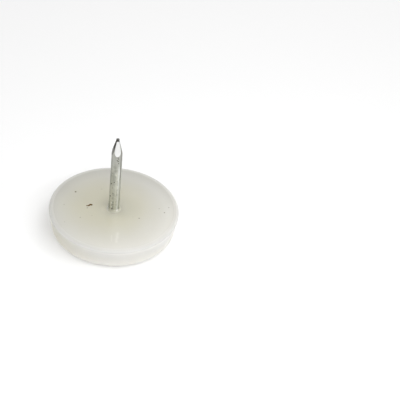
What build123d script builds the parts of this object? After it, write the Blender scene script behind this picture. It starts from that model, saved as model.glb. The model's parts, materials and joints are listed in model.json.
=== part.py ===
from build123d import *

import math
import os

# A nail-on furniture glide: a round pad of translucent white plastic, moulded
# round the head of a steel nail. Millimetres. +Z runs up the nail, and the
# origin is the middle of the floor face, the side that slides on the floor.

# Pad
rim_diameter = 25.0         # the seat face, which lies against the furniture leg
pad_height = 5.2            # floor face to seat face
side_draft = 10.2           # degrees that the side leans in on its way down
shoulder_radius = 9.5       # where the flat of the floor face starts to turn up
shoulder_slope = 8.0        # degrees, outside that turn
shoulder_blend = 10.0
floor_edge_blend = 1.6
seat_edge_blend = 0.55
collar_height = 0.34        # plastic drawn up round the foot of the nail
collar_lip = 0.12           # its thickness at the top
collar_lean = 0.06          # and how much more it has at the bottom
collar_blend = 0.30

# Nail, from its head, which is sealed in the pad, to its tip
wire_diameter = 2.1
nail_reach = 17.2           # seat face to tip
plastic_under_head = 1.5    # what can wear away before the head shows
head_diameter = 5.2
head_thickness = 0.9
throat_diameter = 3.2       # the head runs into the wire by a short cone
throat_height = 0.55
grip_count = 3              # rings that the heading die pressed into the wire
grip_depth = 0.10           # they key the plastic, from the throat to the collar's lip
point_length = 3.6
point_taper = 13.5          # degrees between each cut face and the axis
point_sides = 4
point_turn = 8.0            # degrees that the cut faces are turned about the nail
burr_length = 0.62          # the cutters pinched the wire off and left a blunt end
burr_waist = (0.70, 0.56)   # across the nail and front to back
burr_ears = (0.72, 0.46)
burr_ears_drop = 0.28       # tip to the widest place
burr_top = (0.50, 0.30)

rim_radius = rim_diameter / 2
head_radius = head_diameter / 2
wire_radius = wire_diameter / 2
head_top = plastic_under_head + head_thickness
collar_top = pad_height + collar_height
wire_start = head_top + throat_height
grip_pitch = (collar_top - wire_start) / grip_count
tip_height = pad_height + nail_reach


def corner_near(outline, radius, height):
    """The corner of a turned outline that lies at this radius and height."""
    return outline.vertices().sort_by_distance((radius, height, 0))[0]


def seat_corner_radius():
    """Radius of the sharp seat corner whose rounded edge is as wide as the rim."""
    lean = math.radians(side_draft)
    return rim_radius + seat_edge_blend * ((1 + math.sin(lean)) / math.cos(lean) - 1)


def floor_corner():
    """Where the sloped shoulder and the leaning side would meet if nothing were rounded."""
    slope = math.tan(math.radians(shoulder_slope))
    lean = math.tan(math.radians(side_draft))
    side_at_floor = seat_corner_radius() - pad_height * lean
    radius = (side_at_floor - lean * slope * shoulder_radius) / (1 - lean * slope)
    height = (radius - shoulder_radius) * slope
    return radius, height


def turned(corners, blends):
    """Turns an outline of (radius, height) corners about the axis, some of them rounded."""
    with BuildPart() as blank:
        with BuildSketch(Plane.XZ) as outline:
            with BuildLine():
                Polyline(*corners, close=True)
            make_face()
            for (radius, height), blend in blends:
                fillet(corner_near(outline, radius, height), blend)
        revolve(axis=Axis.Z)
    return blank.part


def pad_blank():
    """The pad with its collar, before the nail takes its room."""
    shoulder = (shoulder_radius, 0)
    floor_edge = floor_corner()
    seat_edge = (seat_corner_radius(), pad_height)
    collar_foot = (wire_radius + collar_lip + collar_lean, pad_height)
    collar_edge = (wire_radius + collar_lip, collar_top)
    return turned(
        [(0, 0), shoulder, floor_edge, seat_edge, collar_foot, collar_edge, (0, collar_top)],
        [
            (shoulder, shoulder_blend),
            (floor_edge, floor_edge_blend),
            (seat_edge, seat_edge_blend),
            (collar_foot, collar_blend),
        ],
    )


def nail_blank():
    """Head, throat and wire, still square at the end."""
    return turned(
        [
            (0, plastic_under_head),
            (head_radius, plastic_under_head),
            (head_radius, head_top),
            (throat_diameter / 2, head_top),
            (wire_radius, wire_start),
            (wire_radius, tip_height),
            (0, tip_height),
        ],
        [],
    )


def grip_ring(start):
    """What one V-shaped ring, as wide as the pitch, takes out of the wire."""
    return turned(
        [
            (wire_radius, start),
            (wire_radius - grip_depth, start + grip_pitch / 2),
            (wire_radius, start + grip_pitch),
        ],
        [],
    )


def point_face(side):
    """The plane of one cut face, with its normal away from the steel that stays."""
    turn = math.radians(point_turn + side * 360 / point_sides)
    taper = math.radians(point_taper)
    across = Vector(math.cos(turn), math.sin(turn), 0)
    shoulder = across * wire_radius + Vector(0, 0, tip_height - point_length)
    normal = across * math.cos(taper) + Vector(0, 0, math.sin(taper))
    return Plane(origin=shoulder, z_dir=normal)


def pinched_burr():
    """The blunt end: a waist, two small ears across it, and a narrow top."""
    sections = [
        (tip_height - burr_length, burr_waist),
        (tip_height - burr_ears_drop, burr_ears),
        (tip_height, burr_top),
    ]
    with BuildPart() as burr:
        for height, (width, depth) in sections:
            with BuildSketch(Plane.XY.offset(height)):
                Rectangle(width, depth, rotation=point_turn)
        loft(ruled=True)
    return burr.part


def make_nail():
    """The nail in one piece: turned, gripped, cut to a point and pinched off."""
    nail = nail_blank()
    for ring in range(grip_count):
        nail -= grip_ring(wire_start + ring * grip_pitch)
    for side in range(point_sides):
        nail = split(nail, bisect_by=point_face(side), keep=Keep.BOTTOM)
    return nail + pinched_burr()


def make_pad(nail):
    """The pad, with plastic touching the steel all over."""
    return pad_blank() - nail


def write(node, part):
    """Writes one sub-part and says what it came to."""
    solids = part.solids()
    assert len(solids) == 1, f"{node} came out as {len(solids)} solids"
    solid = solids[0]
    solid.label = node
    export_step(solid, f"parts/{node}.step")
    size = solid.bounding_box().size
    print(f"{node}: {solid.volume:.1f} mm3, {size.X:.2f} x {size.Y:.2f} x {size.Z:.2f} mm")


os.makedirs("parts", exist_ok=True)
nail = make_nail()
write("nail", nail)
write("pad", make_pad(nail))
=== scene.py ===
# %% [markdown]
# # A nail-on furniture glide
# The real object is two pieces. A round pad of translucent white plastic slides on the
# floor, and a steel nail, whose head is moulded into the pad, goes up into a chair leg.
# The engineering model already says where both pieces are and how big they are, so this
# lesson only gives them their surfaces: finer meshes, and materials made of nodes.

import json
import math

import bpy
from mathutils import Matrix, Vector, noise


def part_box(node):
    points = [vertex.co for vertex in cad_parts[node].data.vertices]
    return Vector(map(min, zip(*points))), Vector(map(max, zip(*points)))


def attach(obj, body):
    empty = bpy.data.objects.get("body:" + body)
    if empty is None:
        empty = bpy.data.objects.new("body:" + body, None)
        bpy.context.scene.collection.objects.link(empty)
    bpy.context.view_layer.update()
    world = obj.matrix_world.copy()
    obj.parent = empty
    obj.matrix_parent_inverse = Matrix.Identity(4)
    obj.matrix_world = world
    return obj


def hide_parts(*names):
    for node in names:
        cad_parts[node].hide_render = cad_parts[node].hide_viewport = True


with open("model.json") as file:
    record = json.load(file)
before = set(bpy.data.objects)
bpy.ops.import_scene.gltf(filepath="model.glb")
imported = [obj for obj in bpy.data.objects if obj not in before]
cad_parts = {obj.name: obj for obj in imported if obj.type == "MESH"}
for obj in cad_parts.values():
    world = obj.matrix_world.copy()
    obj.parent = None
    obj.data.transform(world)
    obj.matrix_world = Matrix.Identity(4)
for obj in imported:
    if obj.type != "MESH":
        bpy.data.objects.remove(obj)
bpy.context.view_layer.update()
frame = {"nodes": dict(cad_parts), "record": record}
print("nodes:", sorted(frame["nodes"]))

# %% [markdown]
# ## Sizes
# The frame is in metres. The real thing is 25 mm wide, so every size below is easier to
# read in millimetres, and one factor turns them back when a mesh is made. The main sizes
# are read from the frame, which keeps both meshes true to it if the model changes.

# %% Sizes from the frame, in millimetres
MM = 0.001


def millimetres(corner):
    """A corner of a box in the frame, as three numbers in millimetres."""
    return [value / MM for value in corner]


mounts = {mount["name"]: mount for mount in frame["record"]["mounts"]}
pad_high = millimetres(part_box("pad")[1])
nail_low, nail_high = (millimetres(corner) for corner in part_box("nail"))

rim_radius = pad_high[0]
collar_top = pad_high[2]
seat_height = mounts["seat_face"]["pos_m"][2] / MM
wire_radius = mounts["nail_shank"]["dims"]["r_mm"]
head_radius = nail_high[0]
head_bottom = nail_low[2]
tip_height = nail_high[2]
print(f"rim {rim_radius:.2f}, seat {seat_height:.2f}, wire {wire_radius:.2f}, tip {tip_height:.2f} mm")

# %% [markdown]
# ## Outlines with rounded corners
# Both pieces are mostly turned shapes: one outline carried round an axis. A corner on a
# moulded or headed piece is never sharp, so an outline is written as a few corners, each
# with the radius that rounds it. Short steps along the straight runs leave the mesh enough
# points to take a dent or a sink mark later.


# %% A rounded outline
def arc_points(here, before, after, blend, step_degrees=6):
    """The arc that rounds one corner, from the run before it to the run after it."""
    to_before = (before - here).normalized()
    to_after = (after - here).normalized()
    half = to_before.angle(to_after) / 2
    centre = here + (to_before + to_after).normalized() * (blend / math.sin(half))
    start = here + to_before * (blend / math.tan(half)) - centre
    end = here + to_after * (blend / math.tan(half)) - centre
    swept = math.copysign(math.pi - 2 * half, start.x * end.y - start.y * end.x)
    steps = max(2, round(abs(math.degrees(swept)) / step_degrees))
    first = math.atan2(start.y, start.x)
    turns = [first + swept * step / steps for step in range(steps + 1)]
    return [centre + Vector((math.cos(t), math.sin(t))) * blend for t in turns]


def rounded_outline(corners, longest_run=0.35):
    """Points along (radius, height, blend) corners, with no straight run over the longest."""
    places = [Vector(corner[:2]) for corner in corners]
    turned = [places[0]]
    for index in range(1, len(corners) - 1):
        blend = corners[index][2]
        if blend:
            turned += arc_points(places[index], places[index - 1], places[index + 1], blend)
        else:
            turned.append(places[index])
    turned.append(places[-1])
    outline = [turned[0]]
    for point in turned[1:]:
        pieces = max(1, math.ceil((point - outline[-1]).length / longest_run))
        start = outline[-1]
        outline += [start.lerp(point, piece / pieces) for piece in range(1, pieces + 1)]
    return outline


# %% [markdown]
# ## From an outline to a mesh
# Blender can spin an outline with a Screw modifier, but then every ring is a perfect
# circle. Building the rings in code costs a few lines more, and lets each point be moved
# a little: real plastic sinks as it cools, and a cut point isn't round at all.


# %% Rings of points, joined into a closed surface
def mesh_piece(name, points, faces, crease_degrees=32):
    """A smooth-shaded object from points in millimetres, creased where it bends sharply."""
    mesh = bpy.data.meshes.new(name)
    mesh.from_pydata([point * MM for point in points], [], faces)
    mesh.shade_smooth()
    mesh.set_sharp_from_angle(angle=math.radians(crease_degrees))
    mesh.update()
    piece = bpy.data.objects.new(name, mesh)
    bpy.context.scene.collection.objects.link(piece)
    print(f"{name}: {len(mesh.polygons)} faces")
    return piece


def closed_rings(bottom, rings, top):
    """Points and faces of a surface that starts at one point, follows rings and ends at one."""
    around = len(rings[0])
    points = [bottom] + [point for ring in rings for point in ring] + [top]
    faces = []
    for side in range(around):
        beside = (side + 1) % around
        faces.append((0, 1 + beside, 1 + side))
        for row in range(len(rings) - 1):
            low, high = 1 + row * around, 1 + (row + 1) * around
            faces.append((low + side, low + beside, high + beside, high + side))
        last = 1 + (len(rings) - 1) * around
        faces.append((last + side, last + beside, len(points) - 1))
    return points, faces


# %% [markdown]
# ## The pad
# The pad was injection moulded. Its side leans in towards the floor, so that it leaves the
# mould and looks slimmer on the chair. The floor face is flat in the middle, with a soft
# shoulder and a tight edge that rides over carpet, and the plastic creeps a little way up
# the nail. Where plastic is thick it sinks as it cools, so the seat face dips round the
# nail, rolls off softly towards the rim, and the side has a faint ripple. A modelled
# surface shows all of that in the gloss, which a bump map would not.

# %% The pad's outline
side_draft = math.radians(10.2)
shoulder_radius = 9.5
shoulder_slope = math.radians(8)
shoulder_blend = 10.0
floor_edge_blend = 1.6
seat_edge_blend = 0.55
collar_lip = 0.12
collar_foot = 0.18
collar_blend = 0.30
head_thickness = 0.9
throat_radius = 1.6
throat_height = 0.55
head_top = head_bottom + head_thickness
wire_start = head_top + throat_height
skin_gap = 0.01


def floor_corner(seat_corner):
    """Where the sloped shoulder and the leaning side would meet with nothing rounded."""
    lean, slope = math.tan(side_draft), math.tan(shoulder_slope)
    side_at_floor = seat_corner - seat_height * lean
    radius = (side_at_floor - lean * slope * shoulder_radius) / (1 - lean * slope)
    return radius, (radius - shoulder_radius) * slope


def pad_outline():
    """The pad's outer skin, and the room inside it that the nail fills."""
    rounding = (1 + math.sin(side_draft)) / math.cos(side_draft) - 1
    seat_corner = rim_radius + seat_edge_blend * rounding
    return rounded_outline([
        (0, 0, 0),
        (shoulder_radius, 0, shoulder_blend),
        (*floor_corner(seat_corner), floor_edge_blend),
        (seat_corner, seat_height, seat_edge_blend),
        (wire_radius + collar_foot, seat_height, collar_blend),
        (wire_radius + collar_lip, collar_top, 0),
        (wire_radius + skin_gap, collar_top, 0),
        (wire_radius + skin_gap, wire_start, 0),
        (throat_radius + skin_gap, head_top + skin_gap, 0),
        (head_radius + skin_gap, head_top + skin_gap, 0),
        (head_radius + skin_gap, head_bottom - skin_gap, 0),
        (0, head_bottom - skin_gap, 0),
    ])


print(f"pad outline: {len(pad_outline())} points")

# %% The pad's mesh
pad_sides = 240
sink_depth = 0.10
sink_radius = 3.2
roll_start = 9.0
roll_depth = 0.20
ripple = 0.012
ripple_width = 5.0
ripple_from = 0.3


def settle(radius, height, turn):
    """A point of the pad after cooling: sunk round the nail, rolled at the rim, rippled."""
    point = Vector((radius * math.cos(turn), radius * math.sin(turn), height))
    seat_share = min(1, (height - seat_height) / seat_edge_blend + 1)
    if seat_share > 0 and radius > wire_radius + skin_gap:
        roll = max(0, radius - roll_start) / (rim_radius - roll_start)
        sink = sink_depth * math.exp(-((radius / sink_radius) ** 2))
        point.z -= (sink + roll_depth * roll * roll) * seat_share
    if radius > shoulder_radius and height > ripple_from:
        swell = abs(noise.noise(point / ripple_width)) * ripple
        point.x -= swell * math.cos(turn)
        point.y -= swell * math.sin(turn)
    return point


def pad_mesh():
    """The pad as one closed skin."""
    outline = pad_outline()
    turns = [2 * math.pi * side / pad_sides for side in range(pad_sides)]
    rings = [[settle(p.x, p.y, turn) for turn in turns] for p in outline[1:-1]]
    bottom = Vector((0, 0, outline[0].y))
    inside = Vector((0, 0, outline[-1].y))
    return mesh_piece("glide_pad", *closed_rings(bottom, rings, inside))


pad = pad_mesh()
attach(pad, "root")
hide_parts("pad")

# %% [markdown]
# ## The nail
# The nail is drawn wire. One blow made the head and left rings in the wire below it, and
# two pairs of cutters sheared the point, so it has four flat faces and a blunt end with a
# scrap of burr. The faces could be cut with booleans. Here each ring simply takes the
# smaller of two distances, out to the wire and out to the nearest cutting plane, which
# gives clean rows of faces from the head to the tip. The burr has distances of its own.

# %% The nail's sections
nail_sides = 128
point_length = 3.6
point_taper = math.tan(math.radians(13.5))
point_turn = math.radians(8)
point_start = tip_height - point_length
cut_from = point_start - 0.2
edge_softness = 0.04
corner_power = 5
die_waver = 0.012
die_waver_scale = 1.3
die_waver_stretch = 2


def boxed(turn, half):
    """Distance from the axis to the side of a box with soft corners, in this direction."""
    across, through = abs(math.cos(turn - point_turn)), abs(math.sin(turn - point_turn))
    spread = (across / half.x) ** corner_power + (through / half.y) ** corner_power
    return spread ** (-1 / corner_power)


def cut_distance(turn, height):
    """How far from the axis the nearest cut face is, in this direction at this height."""
    half_width = wire_radius - (height - point_start) * point_taper
    return boxed(turn, Vector((half_width, half_width)))


def soft_smaller(first, second, softness):
    """The smaller of two numbers, with up to a quarter of the softness rounded off the crossing."""
    blend = max(0, 1 - abs(first - second) / softness)
    return min(first, second) - softness * blend * blend / 4


def wire_distance(turn, height):
    """The wire's own radius: a touch out of round, with the die's faint ring marks."""
    place = Vector((math.cos(turn), math.sin(turn), height / die_waver_stretch))
    return wire_radius - die_waver * abs(noise.noise(place * die_waver_scale))


print(f"point: {point_length} mm long, four faces from {point_start:.2f} mm up")

# %% The burr's sections
# Each section: its share of the burr's length, then half its width and half its depth.
burr_sections = [
    (0, (0.315, 0.315)), (0.28, (0.19, 0.19)), (0.70, (0.31, 0.22)), (1, (0.24, 0.14)),
]
burr_length = 0.55
burr_start = tip_height - burr_length


def burr_distance(turn, height):
    """The blunt end: it draws in to a waist, spreads to two small ears and closes at the top."""
    along = (height - burr_start) / burr_length
    for (low, below), (high, above) in zip(burr_sections, burr_sections[1:]):
        if along <= high:
            half = Vector(below).lerp(Vector(above), (along - low) / (high - low))
            return boxed(turn, half)
    return boxed(turn, Vector(burr_sections[-1][1]))


def nail_section(height, turns):
    """One ring of the exposed nail."""
    ring = []
    for turn in turns:
        reach = wire_distance(turn, height)
        if height > cut_from:
            reach = soft_smaller(reach, cut_distance(turn, height), edge_softness)
        if height > burr_start:
            reach = burr_distance(turn, height)
        ring.append(Vector((reach * math.cos(turn), reach * math.sin(turn), height)))
    return ring


print(f"burr: {burr_length} mm long, from {burr_start:.2f} mm up")

# %% The nail's mesh
fine_step = 0.06
wire_step = 0.16
grip_count = 3
grip_depth = 0.10
nick_share = 0.5
nick_depth = 0.10


def heights_between(start, end, step):
    """Evenly spaced heights, the start left out."""
    count = math.ceil((end - start) / step)
    return [start + (end - start) * index / count for index in range(1, count + 1)]


def headed_end():
    """The head, the throat and the grip rings, which the pad hides."""
    pitch = (collar_top - wire_start) / grip_count
    corners = [(0, head_bottom, 0), (head_radius, head_bottom, 0), (head_radius, head_top, 0)]
    corners += [(throat_radius, head_top, 0), (wire_radius, wire_start, 0)]
    for ring in range(grip_count):
        corners.append((wire_radius - grip_depth, wire_start + (ring + 0.5) * pitch, 0))
        corners.append((wire_radius, wire_start + (ring + 1) * pitch, 0))
    return rounded_outline(corners)


def nail_mesh():
    """The whole nail as one closed skin, with a small nick between the burr's ears."""
    turns = [2 * math.pi * side / nail_sides for side in range(nail_sides)]
    turned = headed_end()[1:]
    rings = [[Vector((p.x * math.cos(t), p.x * math.sin(t), p.y)) for t in turns] for p in turned]
    heights = heights_between(collar_top, cut_from, wire_step)
    heights += heights_between(cut_from, tip_height, fine_step)
    rings += [nail_section(height, turns) for height in heights]
    bottom = Vector((0, 0, head_bottom))
    tip = Vector((0, 0, tip_height))
    rings.append([tip.lerp(point, nick_share) for point in rings[-1]])
    nick = tip - Vector((0, 0, nick_depth))
    return mesh_piece("glide_nail", *closed_rings(bottom, rings, nick))


nail = nail_mesh()
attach(nail, "root")
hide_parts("nail")

# %% [markdown]
# ## Shader maths as Python
# A material that varies over its surface needs a lot of small sums, and a node for each is
# hard to read. Wrapping a socket in a small class lets ordinary operators add the nodes,
# and one method adds every other kind of node.


# %% The socket wrapper
class Wire:
    """The output of a node. Operators on it add Math or Vector Math nodes."""

    def __init__(self, recipe, socket):
        self.recipe = recipe
        self.socket = socket

    def output(self, name):
        """Another output of the same node."""
        return Wire(self.recipe, self.socket.node.outputs[name])

    def sum_of(self, operation, first, second):
        """A Vector Math node where a side is a vector, and a Math node where both are numbers."""
        wires = [side for side in (first, second) if isinstance(side, Wire)]
        vector = any(wire.socket.type == "VECTOR" for wire in wires)
        kind = "VectorMath" if vector else "Math"
        if vector:
            first, second = (
                (side,) * 3 if isinstance(side, (int, float)) else side
                for side in (first, second)
            )
        return self.recipe.node(kind, {"operation": operation}, {0: first, 1: second})

    def __add__(self, other):
        return self.sum_of("ADD", self, other)

    def __sub__(self, other):
        return self.sum_of("SUBTRACT", self, other)

    def __rsub__(self, other):
        return self.sum_of("SUBTRACT", other, self)

    def __mul__(self, other):
        return self.sum_of("MULTIPLY", self, other)

    __radd__ = __add__
    __rmul__ = __mul__


# %% [markdown]
# ## Materials as recipes
# The glide's two materials are marked in millimetres: a pit is at a height on the wire, a
# speck at a place on the seat face. So a recipe keeps the place on the piece as three
# numbers, and turns distances into masks from 0 to 1, which blend one colour or one shader
# into another.


# %% A recipe of nodes
class Recipe:
    """One material's nodes. Surface positions are in millimetres."""

    def __init__(self, name):
        self.material = bpy.data.materials.new(name)
        self.material.use_nodes = True
        self.tree = self.material.node_tree
        self.tree.nodes.clear()
        self.place = self.node("TexCoord", {}, {}, "Object") * (1 / MM)
        self.x = self.node("SeparateXYZ", {}, {0: self.place}, "X")
        self.y = self.x.output("Y")
        self.z = self.x.output("Z")

    def node(self, kind, settings, inputs, output=0):
        """Adds a node of this kind: its settings first, then its inputs."""
        made = self.tree.nodes.new("ShaderNode" + kind)
        for name, value in settings.items():
            setattr(made, name, value)
        for name, value in inputs.items():
            if isinstance(value, Wire):
                self.tree.links.new(value.socket, made.inputs[name])
            else:
                made.inputs[name].default_value = value
        return Wire(self, made.outputs[output]) if made.outputs else None

    def fade(self, value, zero_at, one_at):
        """0 where the value is at one number, 1 where it is at the other, smooth between."""
        limits = {"Value": value, "From Min": zero_at, "From Max": one_at}
        return self.node("MapRange", {"interpolation_type": "SMOOTHSTEP"}, limits)

    def within(self, distance, reach, edge):
        """1 inside this reach, 0 outside it. The edge gives the two shares of the reach."""
        outer, inner = edge
        return self.fade(distance, reach * outer, reach * inner)

    def mix(self, mask, plain, covered):
        """A colour that goes from plain to covered as the mask rises."""
        return self.node("Mix", {"data_type": "RGBA"}, {0: mask, 6: plain, 7: covered}, 2)

    def size_of(self, value):
        """The number without its sign."""
        return self.node("Math", {"operation": "ABSOLUTE"}, {0: value})

    def largest(self, masks):
        """The largest of several masks."""
        together = masks[0]
        for mask in masks[1:]:
            together = self.node("Math", {"operation": "MAXIMUM"}, {0: together, 1: mask})
        return together

    def grain(self, size, detail=2.0, roughness=0.5, stretch=(1, 1, 1)):
        """Noise from 0 to 1, whose patches are about this many millimetres across."""
        across = self.place * tuple(1 / (size * part) for part in stretch)
        settings = {"noise_dimensions": "3D"}
        inputs = {"Vector": across, "Scale": 1.0, "Detail": detail, "Roughness": roughness}
        return self.node("TexNoise", settings, inputs)

    def distance(self, vector):
        """How long a vector is."""
        return self.node("VectorMath", {"operation": "LENGTH"}, {0: vector}, "Value")

    def bump(self, height, depth):
        """A normal from a height of 0 to 1 that stands for this many millimetres."""
        relief = {"Strength": 1.0, "Distance": depth * MM, "Height": height}
        return self.node("Bump", {}, relief)

    def shader(self, inputs):
        """A Principled shader with these inputs."""
        return self.node("BsdfPrincipled", {"subsurface_method": "RANDOM_WALK"}, inputs)

    def cover(self, mask, below, above):
        """The shader below, with the one above laid over it where the mask is 1."""
        return self.node("MixShader", {}, {0: mask, 1: below, 2: above})

    def finish(self, shader):
        """Joins a shader to the material's surface, and returns the material."""
        self.node("OutputMaterial", {}, {"Surface": shader})
        print(f"{self.material.name}: {len(self.tree.nodes)} nodes")
        return self.material


# %% [markdown]
# ## Marks on the seat face
# Handling left a brown fibre, a dark speck and some dust. Two pale streaks near the front
# rim are a painted reflection of the nail, and a bright place on the collar is a painted
# highlight. An image could hold such marks, but places in millimetres stay sharp at any size.
# Dirt and the painted highlights have shaders of their own, laid over the plastic, because
# light scattered inside it would wash a painted mark out.

# %% Places and sizes of the marks, in millimetres
# Fibre: x, y, half width. Specks: x, y, radius, strength.
fibre = [
    (-5.20, 0.20, 0.13), (-4.86, 0.26, 0.17), (-4.72, 0.46, 0.17), (-4.52, 0.61, 0.22),
    (-4.34, 0.57, 0.20),
]
specks = [
    (-7.56, 4.12, 0.17, 1.0), (-5.08, -0.40, 0.14, 0.5), (-9.59, 0.20, 0.10, 0.5),
    (-6.30, -3.30, 0.10, 0.6), (-4.11, -2.53, 0.08, 0.4), (4.93, -2.56, 0.12, 0.8),
    (8.70, 0.58, 0.09, 0.6), (9.74, -0.49, 0.12, 0.8), (10.54, 1.11, 0.10, 0.7),
    (-9.23, -4.84, 0.08, 0.4), (3.77, -2.27, 0.07, 0.4), (-2.55, 5.40, 0.09, 0.4),
]
# Painted highlights: start, end, half width, strength. The first two are a painted reflection
# of the nail near the rim, the last one a painted highlight on the collar.
painted_highlights = [
    ((1.00, -7.2), (0.86, -9.7), 0.40, 0.22), ((-0.13, -8.0), (-0.08, -9.6), 0.20, 0.14),
    ((0.50, -0.98), (0.70, -0.84), 0.15, 0.90),
]
fibre_edge = (1.4, 0.6)
speck_edge = (1.6, 0.4)
highlight_edge = (1.8, 0.5)
highlight_raggedness = 1.2
print(f"seat marks: {len(fibre)} points of fibre, {len(specks)} specks, {len(painted_highlights)} rubs")


# %% Masks of the marks
def line_distance(recipe, flat, start, end):
    """Distance from a line between two places on the seat face."""
    run = (*(end - start), 0)
    offset = flat - (*start, 0)
    along = recipe.node("VectorMath", {"operation": "DOT_PRODUCT"}, {0: offset, 1: run}, "Value")
    limits = {"Value": along, "From Min": 0.0, "From Max": (end - start).length_squared}
    share = recipe.node("MapRange", {"clamp": True}, limits)
    reach = recipe.node("VectorMath", {"operation": "SCALE"}, {0: run, "Scale": share})
    return recipe.distance(offset - reach)


def fibre_mask(recipe, flat):
    """1 on the fibre, 0 away from it."""
    parts = []
    for (*start, half_width), (*end, _) in zip(fibre, fibre[1:]):
        distance = line_distance(recipe, flat, Vector(start), Vector(end))
        parts.append(recipe.within(distance, half_width, fibre_edge))
    return recipe.largest(parts)


def painted_highlight_mask(recipe, flat, fine):
    """How much of each painted highlight shows: the nail's painted reflection near the rim, and the
    painted highlight on the collar.
    """
    parts = []
    for start, end, half_width, strength in painted_highlights:
        distance = line_distance(recipe, flat, Vector(start), Vector(end))
        ragged = distance + fine * (half_width * highlight_raggedness)
        parts.append(recipe.within(ragged, half_width, highlight_edge) * strength)
    return recipe.largest(parts)


def speck_mask(recipe, flat):
    """How much of each speck shows."""
    parts = []
    for x, y, radius, strength in specks:
        distance = recipe.distance(flat - (x, y, 0))
        parts.append(recipe.within(distance, radius, speck_edge) * strength)
    return recipe.largest(parts)


# %% [markdown]
# ## The plastic's tints
# The real pad isn't one white: it is yellower in its thick middle. On top of that it carries
# painted light and shade: greyer at the back and at the rim, whiter at the front and on the
# right, painted shade right of the nail and painted light left of it, and paler low on the
# side and to the right. The tints could be left to coloured lamps, but a lamp would tint the
# nail and the floor as well. So soft masks in millimetres blend them, and large clouds of
# noise keep their borders from looking drawn.

# %% Tints of the seat face
# A fade's two numbers are where its mask is 0 and where it is 1, in millimetres.
# The rear and rim greys are painted shade and the front grey painted light; shaded_yellow is painted shade
# right of the nail, lit_yellow painted light left of it.
shaded_rear_grey = (0.545, 0.542, 0.515, 1)
lit_front_grey = (0.63, 0.62, 0.577, 1)
shaded_rim_grey = (0.44, 0.43, 0.385, 1)
middle_yellow = (0.565, 0.548, 0.448, 1)
shaded_yellow = (0.50, 0.49, 0.41, 1)
lit_yellow = (0.72, 0.70, 0.57, 1)
tint_waver = 3
front_slant = 0.7
front_fade = (-9.0, 14.0)
gate_at = (-1.4, 0.2, 0)
gate_fade = (13.5, 4.5)
gate_waver = 2
shaded_at = (1.8, 0.4, 0)
shaded_fade = (4.5, 1.0)
shaded_strength = 0.6
lit_at = (-1.2, -0.15, 0)
lit_fade = (1.6, 0.2)
lit_strength = 0.8
rim_fade = (10.6, 13.8)
rim_strength = 0.55
rim_sideways = 0.06
rim_backwards = 0.15


def seat_colour(recipe, flat, radius, on_seat, clouds):
    """Painted shade at the back and the rim, painted light at the front, painted shade and light round the
    nail, yellower in the middle.
    """
    forwards = recipe.x * front_slant - recipe.y + clouds * tint_waver
    colour = recipe.mix(recipe.fade(forwards, *front_fade), shaded_rear_grey, lit_front_grey)
    from_gate = recipe.distance(flat - gate_at) + clouds * gate_waver
    colour = recipe.mix(recipe.fade(from_gate, *gate_fade) * on_seat, colour, middle_yellow)
    # Painted shade right of the nail, and painted light left of it over the nail's shadow.
    shaded = recipe.fade(recipe.distance(flat - shaded_at), *shaded_fade)
    colour = recipe.mix(shaded * shaded_strength, colour, shaded_yellow)
    beside_nail = recipe.fade(recipe.distance(flat - lit_at), *lit_fade)
    colour = recipe.mix(beside_nail * lit_strength, colour, lit_yellow)
    outwards = radius + recipe.size_of(recipe.x) * rim_sideways + recipe.y * rim_backwards
    return recipe.mix(recipe.fade(outwards, *rim_fade) * rim_strength, colour, shaded_rim_grey)


print(f"seat tints: yellow within {gate_fade[0]} mm of {gate_at[:2]}, grey from {rim_fade[0]} mm out")

# %% Tints of the side and the floor face
# Painted light on the side: paler on the right and low down.
shaded_left_side = (0.555, 0.54, 0.455, 1)
lit_right_side = (0.635, 0.627, 0.60, 1)
lit_low_left = (0.67, 0.645, 0.54, 1)
lit_low_right = (0.74, 0.725, 0.675, 1)
head_grey = (0.45, 0.455, 0.43, 1)
right_slant = (0.8, 0.6)
right_fade = (-9.0, 9.0)
low_height_fade = (4.6, 1.2)
low_radius_fade = (6.0, 11.0)
head_height_fade = (0.6, 0.1)
head_radius_fade = (4.6, 1.0)
head_strength = 0.3


def side_colour(recipe, radius, clouds):
    """Painted light low down and to the right, with the nail's head a faint grey in the floor face."""
    rightwards = recipe.x * right_slant[0] - recipe.y * right_slant[1] + clouds * tint_waver
    lighter = recipe.fade(rightwards, *right_fade)
    low = recipe.mix(lighter, lit_low_left, lit_low_right)
    low_down = recipe.fade(recipe.z + clouds, *low_height_fade)
    low_down = low_down * recipe.fade(radius, *low_radius_fade)
    colour = recipe.mix(low_down, recipe.mix(lighter, shaded_left_side, lit_right_side), low)
    over_head = recipe.fade(recipe.z, *head_height_fade) * recipe.fade(radius, *head_radius_fade)
    return recipe.mix(over_head * head_strength, colour, head_grey)


print(f"side tints: paler below {low_height_fade[0]} mm, grey within {head_radius_fade[0]} mm of the axis")

# %% [markdown]
# ## The plastic
# Polyethylene lets light in and scatters it, so it looks soft and a little lit from
# inside. Subsurface scattering does that, and because the mesh has the nail's real room
# inside it, the light that the steel takes away darkens the plastic round the nail. The
# collar is so thin that it looks like a glassy film round the steel. Scattering would wash
# it out, so it gets a plain shader, with painted light that makes it a little paler at the
# front and on the left.

# %% The shaders of the pad
edge_shade_grey = (0.50, 0.495, 0.475, 1)
film_colour = (0.46, 0.45, 0.36, 1)
film_lit_pale = (0.60, 0.59, 0.52, 1)
fibre_brown = (0.10, 0.045, 0.004, 1)
speck_grey = (0.13, 0.12, 0.07, 1)
highlight_white = (0.80, 0.79, 0.74, 1)
plastic_ior = 1.5
scatter_reach = 4.0
relief_depth = 0.05
edge_shade_strength = 0.8
film_roughness = 0.32
dirt_roughness = 0.8
dirt_gloss = 0.1
# Painted light on the collar: on its left and in a ring at the front of its foot.
film_left_fade = (-0.95, -1.20)
foot_ring_radius = 1.38
foot_ring_fade = (0.14, 0.04)
foot_ring_front = (0.2, -0.6)
foot_ring_strength = 0.35


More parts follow.
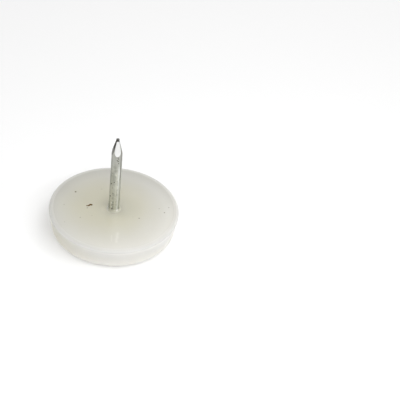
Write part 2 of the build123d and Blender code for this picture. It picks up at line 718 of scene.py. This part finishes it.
def milky_shader(recipe, colour, roughness, relief):
    """The plastic itself, with light scattered inside it."""
    return recipe.shader({
        "Base Color": colour,
        "Roughness": roughness,
        "Normal": relief,
        "IOR": plastic_ior,
        "Subsurface Weight": 1.0,
        "Subsurface Radius": (1.0, 1.0, 1.0),
        "Subsurface Scale": scatter_reach * MM,
    })


def film_shader(recipe, radius, relief):
    """The thin collar, with painted light: a paler ring at the front of its foot and a paler left side."""
    foot_ring = recipe.fade(recipe.size_of(radius - foot_ring_radius), *foot_ring_fade)
    foot_ring = foot_ring * recipe.fade(recipe.y, *foot_ring_front) * foot_ring_strength
    paler = recipe.largest([foot_ring, recipe.fade(recipe.x, *film_left_fade)])
    return recipe.shader({
        "Base Color": recipe.mix(paler, film_colour, film_lit_pale),
        "Roughness": film_roughness,
        "Normal": relief,
        "IOR": plastic_ior,
    })


def dirt_shader(recipe, fibred):
    """Dull dirt: brown on the fibre, grey elsewhere."""
    return recipe.shader({
        "Base Color": recipe.mix(fibred, speck_grey, fibre_brown),
        "Roughness": dirt_roughness,
        "Specular IOR Level": dirt_gloss,
    })


print(f"plastic: light travels about {scatter_reach} mm in it")

# %% The pad's material
seat_fade = (seat_height - 0.7, seat_height - 0.1)
edge_height = seat_height - 0.38
edge_height_fade = (0.42, 0.1)
edge_radius_fade = (11.2, 12.0)
thin_fade = (1.65, 1.30)
thin_waver = 0.15
side_roughness = 0.28
seat_polish = 0.12
edge_roughening = 0.3
fine_roughening = 0.03
cloud_roughening = 0.04
cloud_relief = 0.15
fine_relief = 0.02
highlight_roughness = 0.3


def plastic_material():
    """Milky polyethylene with its tints, its thin collar and its few marks."""
    recipe = Recipe("pad_plastic")
    flat = recipe.place * (1, 1, 0)
    radius = recipe.distance(flat)
    on_seat = recipe.fade(recipe.z, *seat_fade)
    clouds = recipe.grain(size=3.5, detail=3)
    fine = recipe.grain(size=0.5, detail=3)
    seat = seat_colour(recipe, flat, radius, on_seat, clouds)
    colour = recipe.mix(on_seat, side_colour(recipe, radius, clouds), seat)
    # A darker band painted on the rim's rounding: painted shade that tones down its highlight.
    edge = recipe.fade(recipe.size_of(recipe.z - edge_height), *edge_height_fade)
    edge = edge * recipe.fade(radius, *edge_radius_fade)
    colour = recipe.mix(edge * edge_shade_strength, colour, edge_shade_grey)
    roughness = fine * fine_roughening + clouds * cloud_roughening + side_roughness
    roughness = roughness - on_seat * seat_polish + edge * edge_roughening
    relief = recipe.bump(clouds * cloud_relief + fine * fine_relief, relief_depth)
    plastic = milky_shader(recipe, colour, roughness, relief)
    thin = on_seat * recipe.fade(radius + fine * thin_waver, *thin_fade)
    plastic = recipe.cover(thin, plastic, film_shader(recipe, radius, relief))
    # Painted highlights over the plastic: the nail's reflection near the rim and a glint on the collar.
    streaks = on_seat * painted_highlight_mask(recipe, flat, fine)
    painted_sheen = recipe.shader({"Base Color": highlight_white, "Roughness": highlight_roughness})
    plastic = recipe.cover(streaks, plastic, painted_sheen)
    fibred = fibre_mask(recipe, flat)
    dirty = on_seat * recipe.largest([speck_mask(recipe, flat), fibred])
    return recipe.finish(recipe.cover(dirty, plastic, dirt_shader(recipe, fibred)))


pad.data.materials.append(plastic_material())

# %% [markdown]
# ## Marks on the wire
# Zinc-coated wire is satin and a little mottled, and storage left small dark pits. Dark
# lines along it, a darker band on its left and a few dark patches are painted dark
# reflections, and a pale stripe on its right is a painted reflection.
# Such marks could be scattered at random, but the ones that show are placed one by one, as
# they show on the real wire, and only on the side that shows. Elsewhere the wire has just
# its mottling and a few fine pits.

# %% Places and sizes of the marks on the wire, in millimetres
# Painted dark reflection lines: across, half width, strength. The painted pale and dark
# reflection stripes: across, half width.
dark_reflection_lines = [(0.84, 0.12, 0.75), (-0.93, 0.10, 0.60)]
pale_reflection_line = (0.57, 0.16)
dark_left_band = (-0.66, 0.40)
# Spots: across, height, radius.
pits = [
    (0.25, 18.55, 0.10), (0.37, 18.25, 0.09), (0.10, 17.90, 0.10), (0.29, 17.70, 0.11),
    (0.38, 17.15, 0.09), (-0.22, 12.50, 0.10), (-0.74, 11.90, 0.11), (-0.36, 9.75, 0.09),
    (-0.80, 8.80, 0.11), (-0.26, 7.50, 0.09), (-0.24, 7.15, 0.07), (-0.22, 6.85, 0.09),
    (-0.42, 6.75, 0.07), (-0.22, 6.45, 0.08), (-0.24, 6.05, 0.10), (-0.44, 5.80, 0.09),
    (0.33, 12.60, 0.05), (-0.50, 11.0, 0.06), (-0.98, 7.00, 0.08), (-0.97, 6.60, 0.10),
    (-0.97, 6.25, 0.11), (-0.96, 5.85, 0.13), (0.10, 9.00, 0.05), (0.30, 7.60, 0.05),
    (-0.10, 13.9, 0.06), (-0.62, 14.6, 0.07),
]
bright_spots = [(-0.49, 7.25, 0.14), (-0.47, 6.28, 0.14)]
# Dark patches, laid in with the painted dark reflection band.
dark_patches = [(-0.25, 16.10, 0.38), (-0.10, 15.25, 0.30), (0.93, 16.20, 0.22), (0.90, 15.85, 0.18)]
spot_edge = (1.5, 0.5)
stripe_edge = (1.3, 0.4)
stripe_waver = 0.25
front_only = (0.0, -0.2)
print(f"wire marks: {len(pits)} pits, {len(bright_spots)} bright spots, {len(dark_patches)} smudges")


# %% Masks of the marks on the wire
def spot_mask(recipe, spots):
    """1 in these spots on the side of the wire that shows, 0 away from them."""
    upright = recipe.place * (1, 0, 1)
    parts = []
    for across, height, radius in spots:
        distance = recipe.distance(upright - (across, 0, height))
        parts.append(recipe.within(distance, radius, spot_edge))
    return recipe.largest(parts) * recipe.fade(recipe.y, *front_only)


def stripe(recipe, mottle, across, half_width):
    """1 along a wavering line on the front of the wire, 0 away from it."""
    middle = across + stripe_waver / 2
    offset = recipe.size_of(recipe.x + mottle * stripe_waver - middle)
    return recipe.within(offset, half_width, stripe_edge) * recipe.fade(recipe.y, *front_only)


def dark_reflection_mask(recipe, mottle):
    """Painted dark reflections, as lines along the wire."""
    parts = []
    for across, half_width, strength in dark_reflection_lines:
        parts.append(stripe(recipe, mottle, across, half_width) * strength)
    return recipe.largest(parts)


# %% [markdown]
# ## The cut faces and the burr
# The cut faces were never drawn through a die, so they are cleaner than the wire. Each
# mirrors another side of its surroundings. The room here is the same all round, so each
# face has its reflection painted in as a tint of its own instead: a painted bright reflection
# on the front face and painted darker ones on the others. The cutter dragged over the left
# one and over the burr, which left them dark, and the left one's darkness is partly painted
# shade as well. The mesh knows which points it cut, but a mask made of the same planes is
# sharper than its points.

# %% Masks of the cut faces and the burr
right_face, rear_face, left_face, front_face = range(4)
quarter_turn = math.radians(90)
face_skin = 0.02
point_fade = (point_start - 0.1, point_start + 0.1)
notch_width_fade = (0.11, 0.04)
notch_height_fade = (tip_height - 0.30, tip_height - 0.15)


def facing_mask(recipe, side, softness=0.03):
    """1 on one cut face of the point, 0 elsewhere."""
    direction = point_turn + quarter_turn * side
    across = recipe.x * math.cos(direction) + recipe.y * math.sin(direction)
    depth = across + recipe.z * point_taper - (wire_radius + point_start * point_taper)
    on_face = recipe.fade(depth, -face_skin - softness, -face_skin)
    return on_face * recipe.fade(recipe.z, *point_fade)


def notch_mask(recipe):
    """The bright notch between the burr's two ears."""
    across = recipe.size_of(recipe.x * math.cos(point_turn) + recipe.y * math.sin(point_turn))
    return recipe.fade(across, *notch_width_fade) * recipe.fade(recipe.z, *notch_height_fade)


print(f"cut faces: masked from {point_fade[0]:.2f} mm up, the notch from {notch_height_fade[0]:.2f} mm")

# %% [markdown]
# ## The steel
# A metal's colour is what it mirrors, tinted, so one Metallic shader serves the wire and
# the cuts, and its colour and roughness vary over them. The tints are laid one over
# another: mottled zinc, the painted pale and dark reflection stripes, painted dark
# reflection lines, pits, then the cuts.
# What the cutter blackened isn't bare metal any more, and gets a dull shader over it; on
# the upper left face that black is partly painted shade.

# %% Colour of the wire
wire_grey = (0.44, 0.45, 0.40, 1)
wire_pale = (0.68, 0.69, 0.62, 1)
sheared_grey = (0.36, 0.36, 0.34, 1)
line_pale = (0.88, 0.90, 0.90, 1)
line_dark = (0.17, 0.17, 0.15, 1)
dark_reflection_green = (0.22, 0.23, 0.18, 1)
mottling_fade = (0.38, 0.62)
near_point_fade = (15.5, 18.0)
near_point_strength = 0.6
sheen_top_fade = (17.8, 15.5)
sheen_foot_fade = (9.0, 7.0)
sheen_strength = 0.46
sheen_foot_gain = 0.25
dark_left_top_fade = (17.4, 16.0)
dark_left_foot_fade = (8.0, 13.5)
painted_dark_strength = 0.17
painted_dark_mottling = 0.4
line_upper_fade = (11.0, 15.5)
line_strength = 0.22
line_upper_gain = 0.75
height_waver = 2


def wire_colour(recipe, mottle, tone):
    """Mottled zinc, with a painted pale reflection on the right, a painted dark reflection on the left,
    and painted dark reflection lines.
    """
    colour = recipe.mix(recipe.fade(tone, *mottling_fade), wire_grey, wire_pale)
    ragged_height = recipe.z + mottle * height_waver
    near_point = recipe.fade(ragged_height, *near_point_fade)
    colour = recipe.mix(near_point * near_point_strength, colour, sheared_grey)
    # A painted pale reflection down the right of the wire.
    painted_sheen = stripe(recipe, mottle, *pale_reflection_line) * recipe.fade(recipe.z + mottle, *sheen_top_fade)
    strength = recipe.fade(recipe.z, *sheen_foot_fade) * sheen_foot_gain + sheen_strength
    colour = recipe.mix(painted_sheen * strength, colour, line_pale)
    # A painted dark reflection down the left, with the dark patches.
    painted_dark = stripe(recipe, mottle, *dark_left_band) * recipe.fade(ragged_height, *dark_left_top_fade)
    painted_dark = painted_dark * recipe.fade(recipe.z, *dark_left_foot_fade)
    painted_dark = recipe.largest([painted_dark, spot_mask(recipe, dark_patches)])
    colour = recipe.mix(painted_dark * (mottle * painted_dark_mottling + painted_dark_strength), colour, dark_reflection_green)
    # Painted dark reflection lines.
    strength = recipe.fade(ragged_height, *line_upper_fade) * line_upper_gain + line_strength
    return recipe.mix(dark_reflection_mask(recipe, mottle) * strength, colour, line_dark)


print(f"wire: rubbed pale below {sheen_top_fade[0]} mm, dull from {dark_left_foot_fade[0]} mm up")

# %% Colour of the cuts
# Each cut face's tint is its painted reflection; the left one's dark is partly the cutter's drag as well.
right_cut = (0.23, 0.23, 0.215, 1)
rear_cut = (0.32, 0.32, 0.30, 1)
front_cut = (0.87, 0.87, 0.86, 1)
left_cut = (0.17, 0.17, 0.155, 1)
burr_dark = (0.06, 0.06, 0.055, 1)
burr_pale = (0.34, 0.34, 0.32, 1)
cut_strength = 0.7
cut_mottling = 0.4


def cut_colour(recipe, colour, mottle, front, left, burr, notch):
    """The wire's colour, with the cut faces' painted reflection tints and the burr laid over it."""
    for side, tint in ((right_face, right_cut), (rear_face, rear_cut)):
        shown = facing_mask(recipe, side) * (mottle * cut_mottling + cut_strength)
        colour = recipe.mix(shown, colour, tint)
    colour = recipe.mix(front, colour, front_cut)
    colour = recipe.mix(left, colour, left_cut)
    return recipe.mix(burr, colour, recipe.mix(notch, burr_dark, burr_pale))


print(f"cuts: the front one {front_cut[0] / left_cut[0]:.1f} times as bright as the left one")

# %% The nail's material
pit_dark = (0.07, 0.065, 0.05, 1)
scorched_black = (0.03, 0.03, 0.025, 1)
mottle_share = 0.45
ring_share = 0.15
line_share = 0.40
scattered_fade = (0.30, 0.22)
scattered_strength = 0.8
bright_strength = 0.7
left_face_softness = 0.14
dragged_and_shaded_fade = (point_start + 1.9, point_start + 3.1)
burr_fade = (tip_height - 0.56, tip_height - 0.48)
steel_roughness = 0.26
mottle_roughening = 0.15
grain_roughening = 0.1
front_polish = 0.06
pit_roughening = 0.3
mottle_relief = 0.5
grain_relief = 0.4
ring_relief = 0.3
steel_relief_depth = 0.03
scorched_roughness = 0.8
scorched_gloss = 0.1
dragged_and_shaded_strength = 0.9
burr_strength = 0.5


def steel_material():
    """Satin wire with mottling, painted reflections and pits, a cut point and a blackened burr."""
    recipe = Recipe("nail_steel")
    mottle = recipe.grain(size=0.7, detail=4, roughness=0.6, stretch=(1, 1, 1.6))
    fine = recipe.grain(size=0.16, detail=3, roughness=0.6)
    rings = recipe.grain(size=0.5, detail=2, roughness=0.5, stretch=(8, 8, 0.5))
    lines = recipe.grain(size=0.45, detail=2, roughness=0.5, stretch=(1, 1, 14))
    tone = mottle * mottle_share + rings * ring_share + lines * line_share
    colour = wire_colour(recipe, mottle, tone)
    roughness = mottle * mottle_roughening + fine * grain_roughening + steel_roughness
    scattered = recipe.fade(fine, *scattered_fade) * scattered_strength
    marks = recipe.largest([spot_mask(recipe, pits), scattered])
    colour = recipe.mix(marks, colour, pit_dark)
    colour = recipe.mix(spot_mask(recipe, bright_spots) * bright_strength, colour, line_pale)
    front = facing_mask(recipe, front_face)
    left = facing_mask(recipe, left_face, left_face_softness)
    burr = recipe.fade(recipe.z, *burr_fade)
    notch = notch_mask(recipe)
    relief = mottle * mottle_relief + fine * grain_relief + rings * ring_relief - marks
    steel = recipe.shader({
        "Base Color": cut_colour(recipe, colour, mottle, front, left, burr, notch),
        "Metallic": 1.0,
        "Roughness": roughness - front * front_polish + marks * pit_roughening,
        "Normal": recipe.bump(relief, steel_relief_depth),
    })
    scorched = recipe.shader({
        "Base Color": scorched_black,
        "Roughness": scorched_roughness,
        "Specular IOR Level": scorched_gloss,
    })
    # The upper left face is blackened partly by the cutter's drag and partly as painted shade.
    dragged_and_shaded = recipe.fade(recipe.z + mottle * height_waver, *dragged_and_shaded_fade)
    on_burr = burr * (1 - notch) * burr_strength
    blackened = recipe.largest([left * dragged_and_shaded * dragged_and_shaded_strength, on_burr])
    return recipe.finish(recipe.cover(blackened, steel, scorched))


nail.data.materials.append(steel_material())

# %% [markdown]
# ## Floor
# A picture of something white on white paper needs paper that isn't quite white, or the
# shadow is all that shows. The upright steel mirrors the paper as much as the room, so the
# paper also gives off a little light of its own: the nail stays bright and the shadow pale.

# %% Floor
floor_half = 1.5
paper_grey = (0.70, 0.70, 0.70, 1)
paper_roughness = 0.9
paper_glow = 0.27


def floor_object():
    """A plain pale floor, just under the glide."""
    corners = [(-1, -1), (1, -1), (1, 1), (-1, 1)]
    mesh = bpy.data.meshes.new("floor")
    mesh.from_pydata([(x * floor_half, y * floor_half, 0) for x, y in corners], [], [(0, 1, 2, 3)])
    piece = bpy.data.objects.new("floor", mesh)
    bpy.context.scene.collection.objects.link(piece)
    recipe = Recipe("floor_paper")
    paper = recipe.shader({
        "Base Color": paper_grey,
        "Roughness": paper_roughness,
        "Emission Color": (1, 1, 1, 1),
        "Emission Strength": paper_glow,
    })
    piece.data.materials.append(recipe.finish(paper))
    print(f"floor: {floor_half * 2:.1f} m wide")
    return piece


floor_object()

# %% [markdown]
# ## Light
# Soft light from all round shows a white thing's colour but hides its form, and one hard
# lamp does the opposite. Here the room is an even pale grey. Two small lamps close by, at
# the front and the front right, lift the near side, a large one behind on the right gives
# the rim and the side their form, and a small far one aims a glint at the collar, where a
# painted highlight makes the glint.

# %% Lamps and room
room_light = 0.60


def lamp(name, azimuth, elevation, distance, size, watts):
    """A square soft light that looks at the glide, placed by angles as seen from above."""
    light = bpy.data.lights.new(name, "AREA")
    light.size = size
    light.energy = watts
    holder = bpy.data.objects.new(name, light)
    turn, rise = math.radians(azimuth), math.radians(elevation)
    outwards = math.cos(rise)
    away = Vector((math.sin(turn) * outwards, -math.cos(turn) * outwards, math.sin(rise)))
    holder.location = away * distance
    holder.rotation_euler = away.to_track_quat("Z", "Y").to_euler()
    holder.visible_camera = False
    bpy.context.scene.collection.objects.link(holder)
    print(f"{name}: {watts} W, {size} m wide, {distance} m away")


lamp("key_lamp", azimuth=45, elevation=60, distance=0.11, size=0.09, watts=0.040)
lamp("front_lamp", azimuth=0, elevation=50, distance=0.12, size=0.10, watts=0.038)
lamp("rear_lamp", azimuth=135, elevation=45, distance=0.50, size=0.40, watts=0.50)
lamp("glint_lamp", azimuth=65, elevation=39, distance=0.45, size=0.05, watts=0.16)

room = bpy.data.worlds.new("room")
room.use_nodes = True
room.node_tree.nodes["Background"].inputs["Color"].default_value = (1, 1, 1, 1)
room.node_tree.nodes["Background"].inputs["Strength"].default_value = room_light
scene = bpy.context.scene
scene.world = room
scene.view_settings.view_transform = "Standard"
print(f"room light: {room_light}")

# %% [markdown]
# ## Camera
# The photograph was taken from about half a metre, 41 degrees above the floor, and rolled
# by a little over 3 degrees, so that the nail seems to lean. The lens is long enough to
# fill a third of the picture, and the glide is left of the middle, so the camera looks
# past it. Lens shift would do that too, but it would stay on in every other view.

# %% Camera
picture_width = 400
camera_elevation = math.radians(40.8)
camera_roll = math.radians(3.4)
camera_distance = 0.5
pixels_per_mm = 5.204
seat_centre_at = (113.9, 208.0)
sensor_width = 36.0
nearest_seen = 0.01
focal_pixels = pixels_per_mm * camera_distance / MM


def rolled_axes():
    """What is right and up for the camera while it faces the glide."""
    up = Vector((0, math.sin(camera_elevation), math.cos(camera_elevation)))
    right = Vector((1, 0, 0))
    rolled_right = right * math.cos(camera_roll) + up * math.sin(camera_roll)
    rolled_up = up * math.cos(camera_roll) - right * math.sin(camera_roll)
    return rolled_right, rolled_up


def camera_place():
    """The camera's place and turn, which put the seat's middle where the photo has it."""
    back = Vector((0, -math.cos(camera_elevation), math.sin(camera_elevation)))
    right, up = rolled_axes()
    middle = picture_width / 2
    aside = (middle - seat_centre_at[0]) / focal_pixels
    below = (seat_centre_at[1] - middle) / focal_pixels
    ahead = (-back + right * aside + up * below).normalized()
    turned_right = ahead.cross(up).normalized()
    turned_up = turned_right.cross(ahead)
    facing = Matrix((turned_right, turned_up, -ahead)).transposed()
    place = Vector((0, 0, seat_height * MM)) + back * camera_distance
    return Matrix.Translation(place) @ facing.to_4x4()


def camera_object():
    """The camera, with a lens as long as the picture's scale asks for."""
    data = bpy.data.cameras.new("camera")
    data.sensor_width = sensor_width
    data.lens = focal_pixels / picture_width * sensor_width
    data.clip_start = nearest_seen
    holder = bpy.data.objects.new("camera", data)
    holder.matrix_world = camera_place()
    bpy.context.scene.collection.objects.link(holder)
    print(f"lens {data.lens:.1f} mm")
    return holder


scene.camera = camera_object()
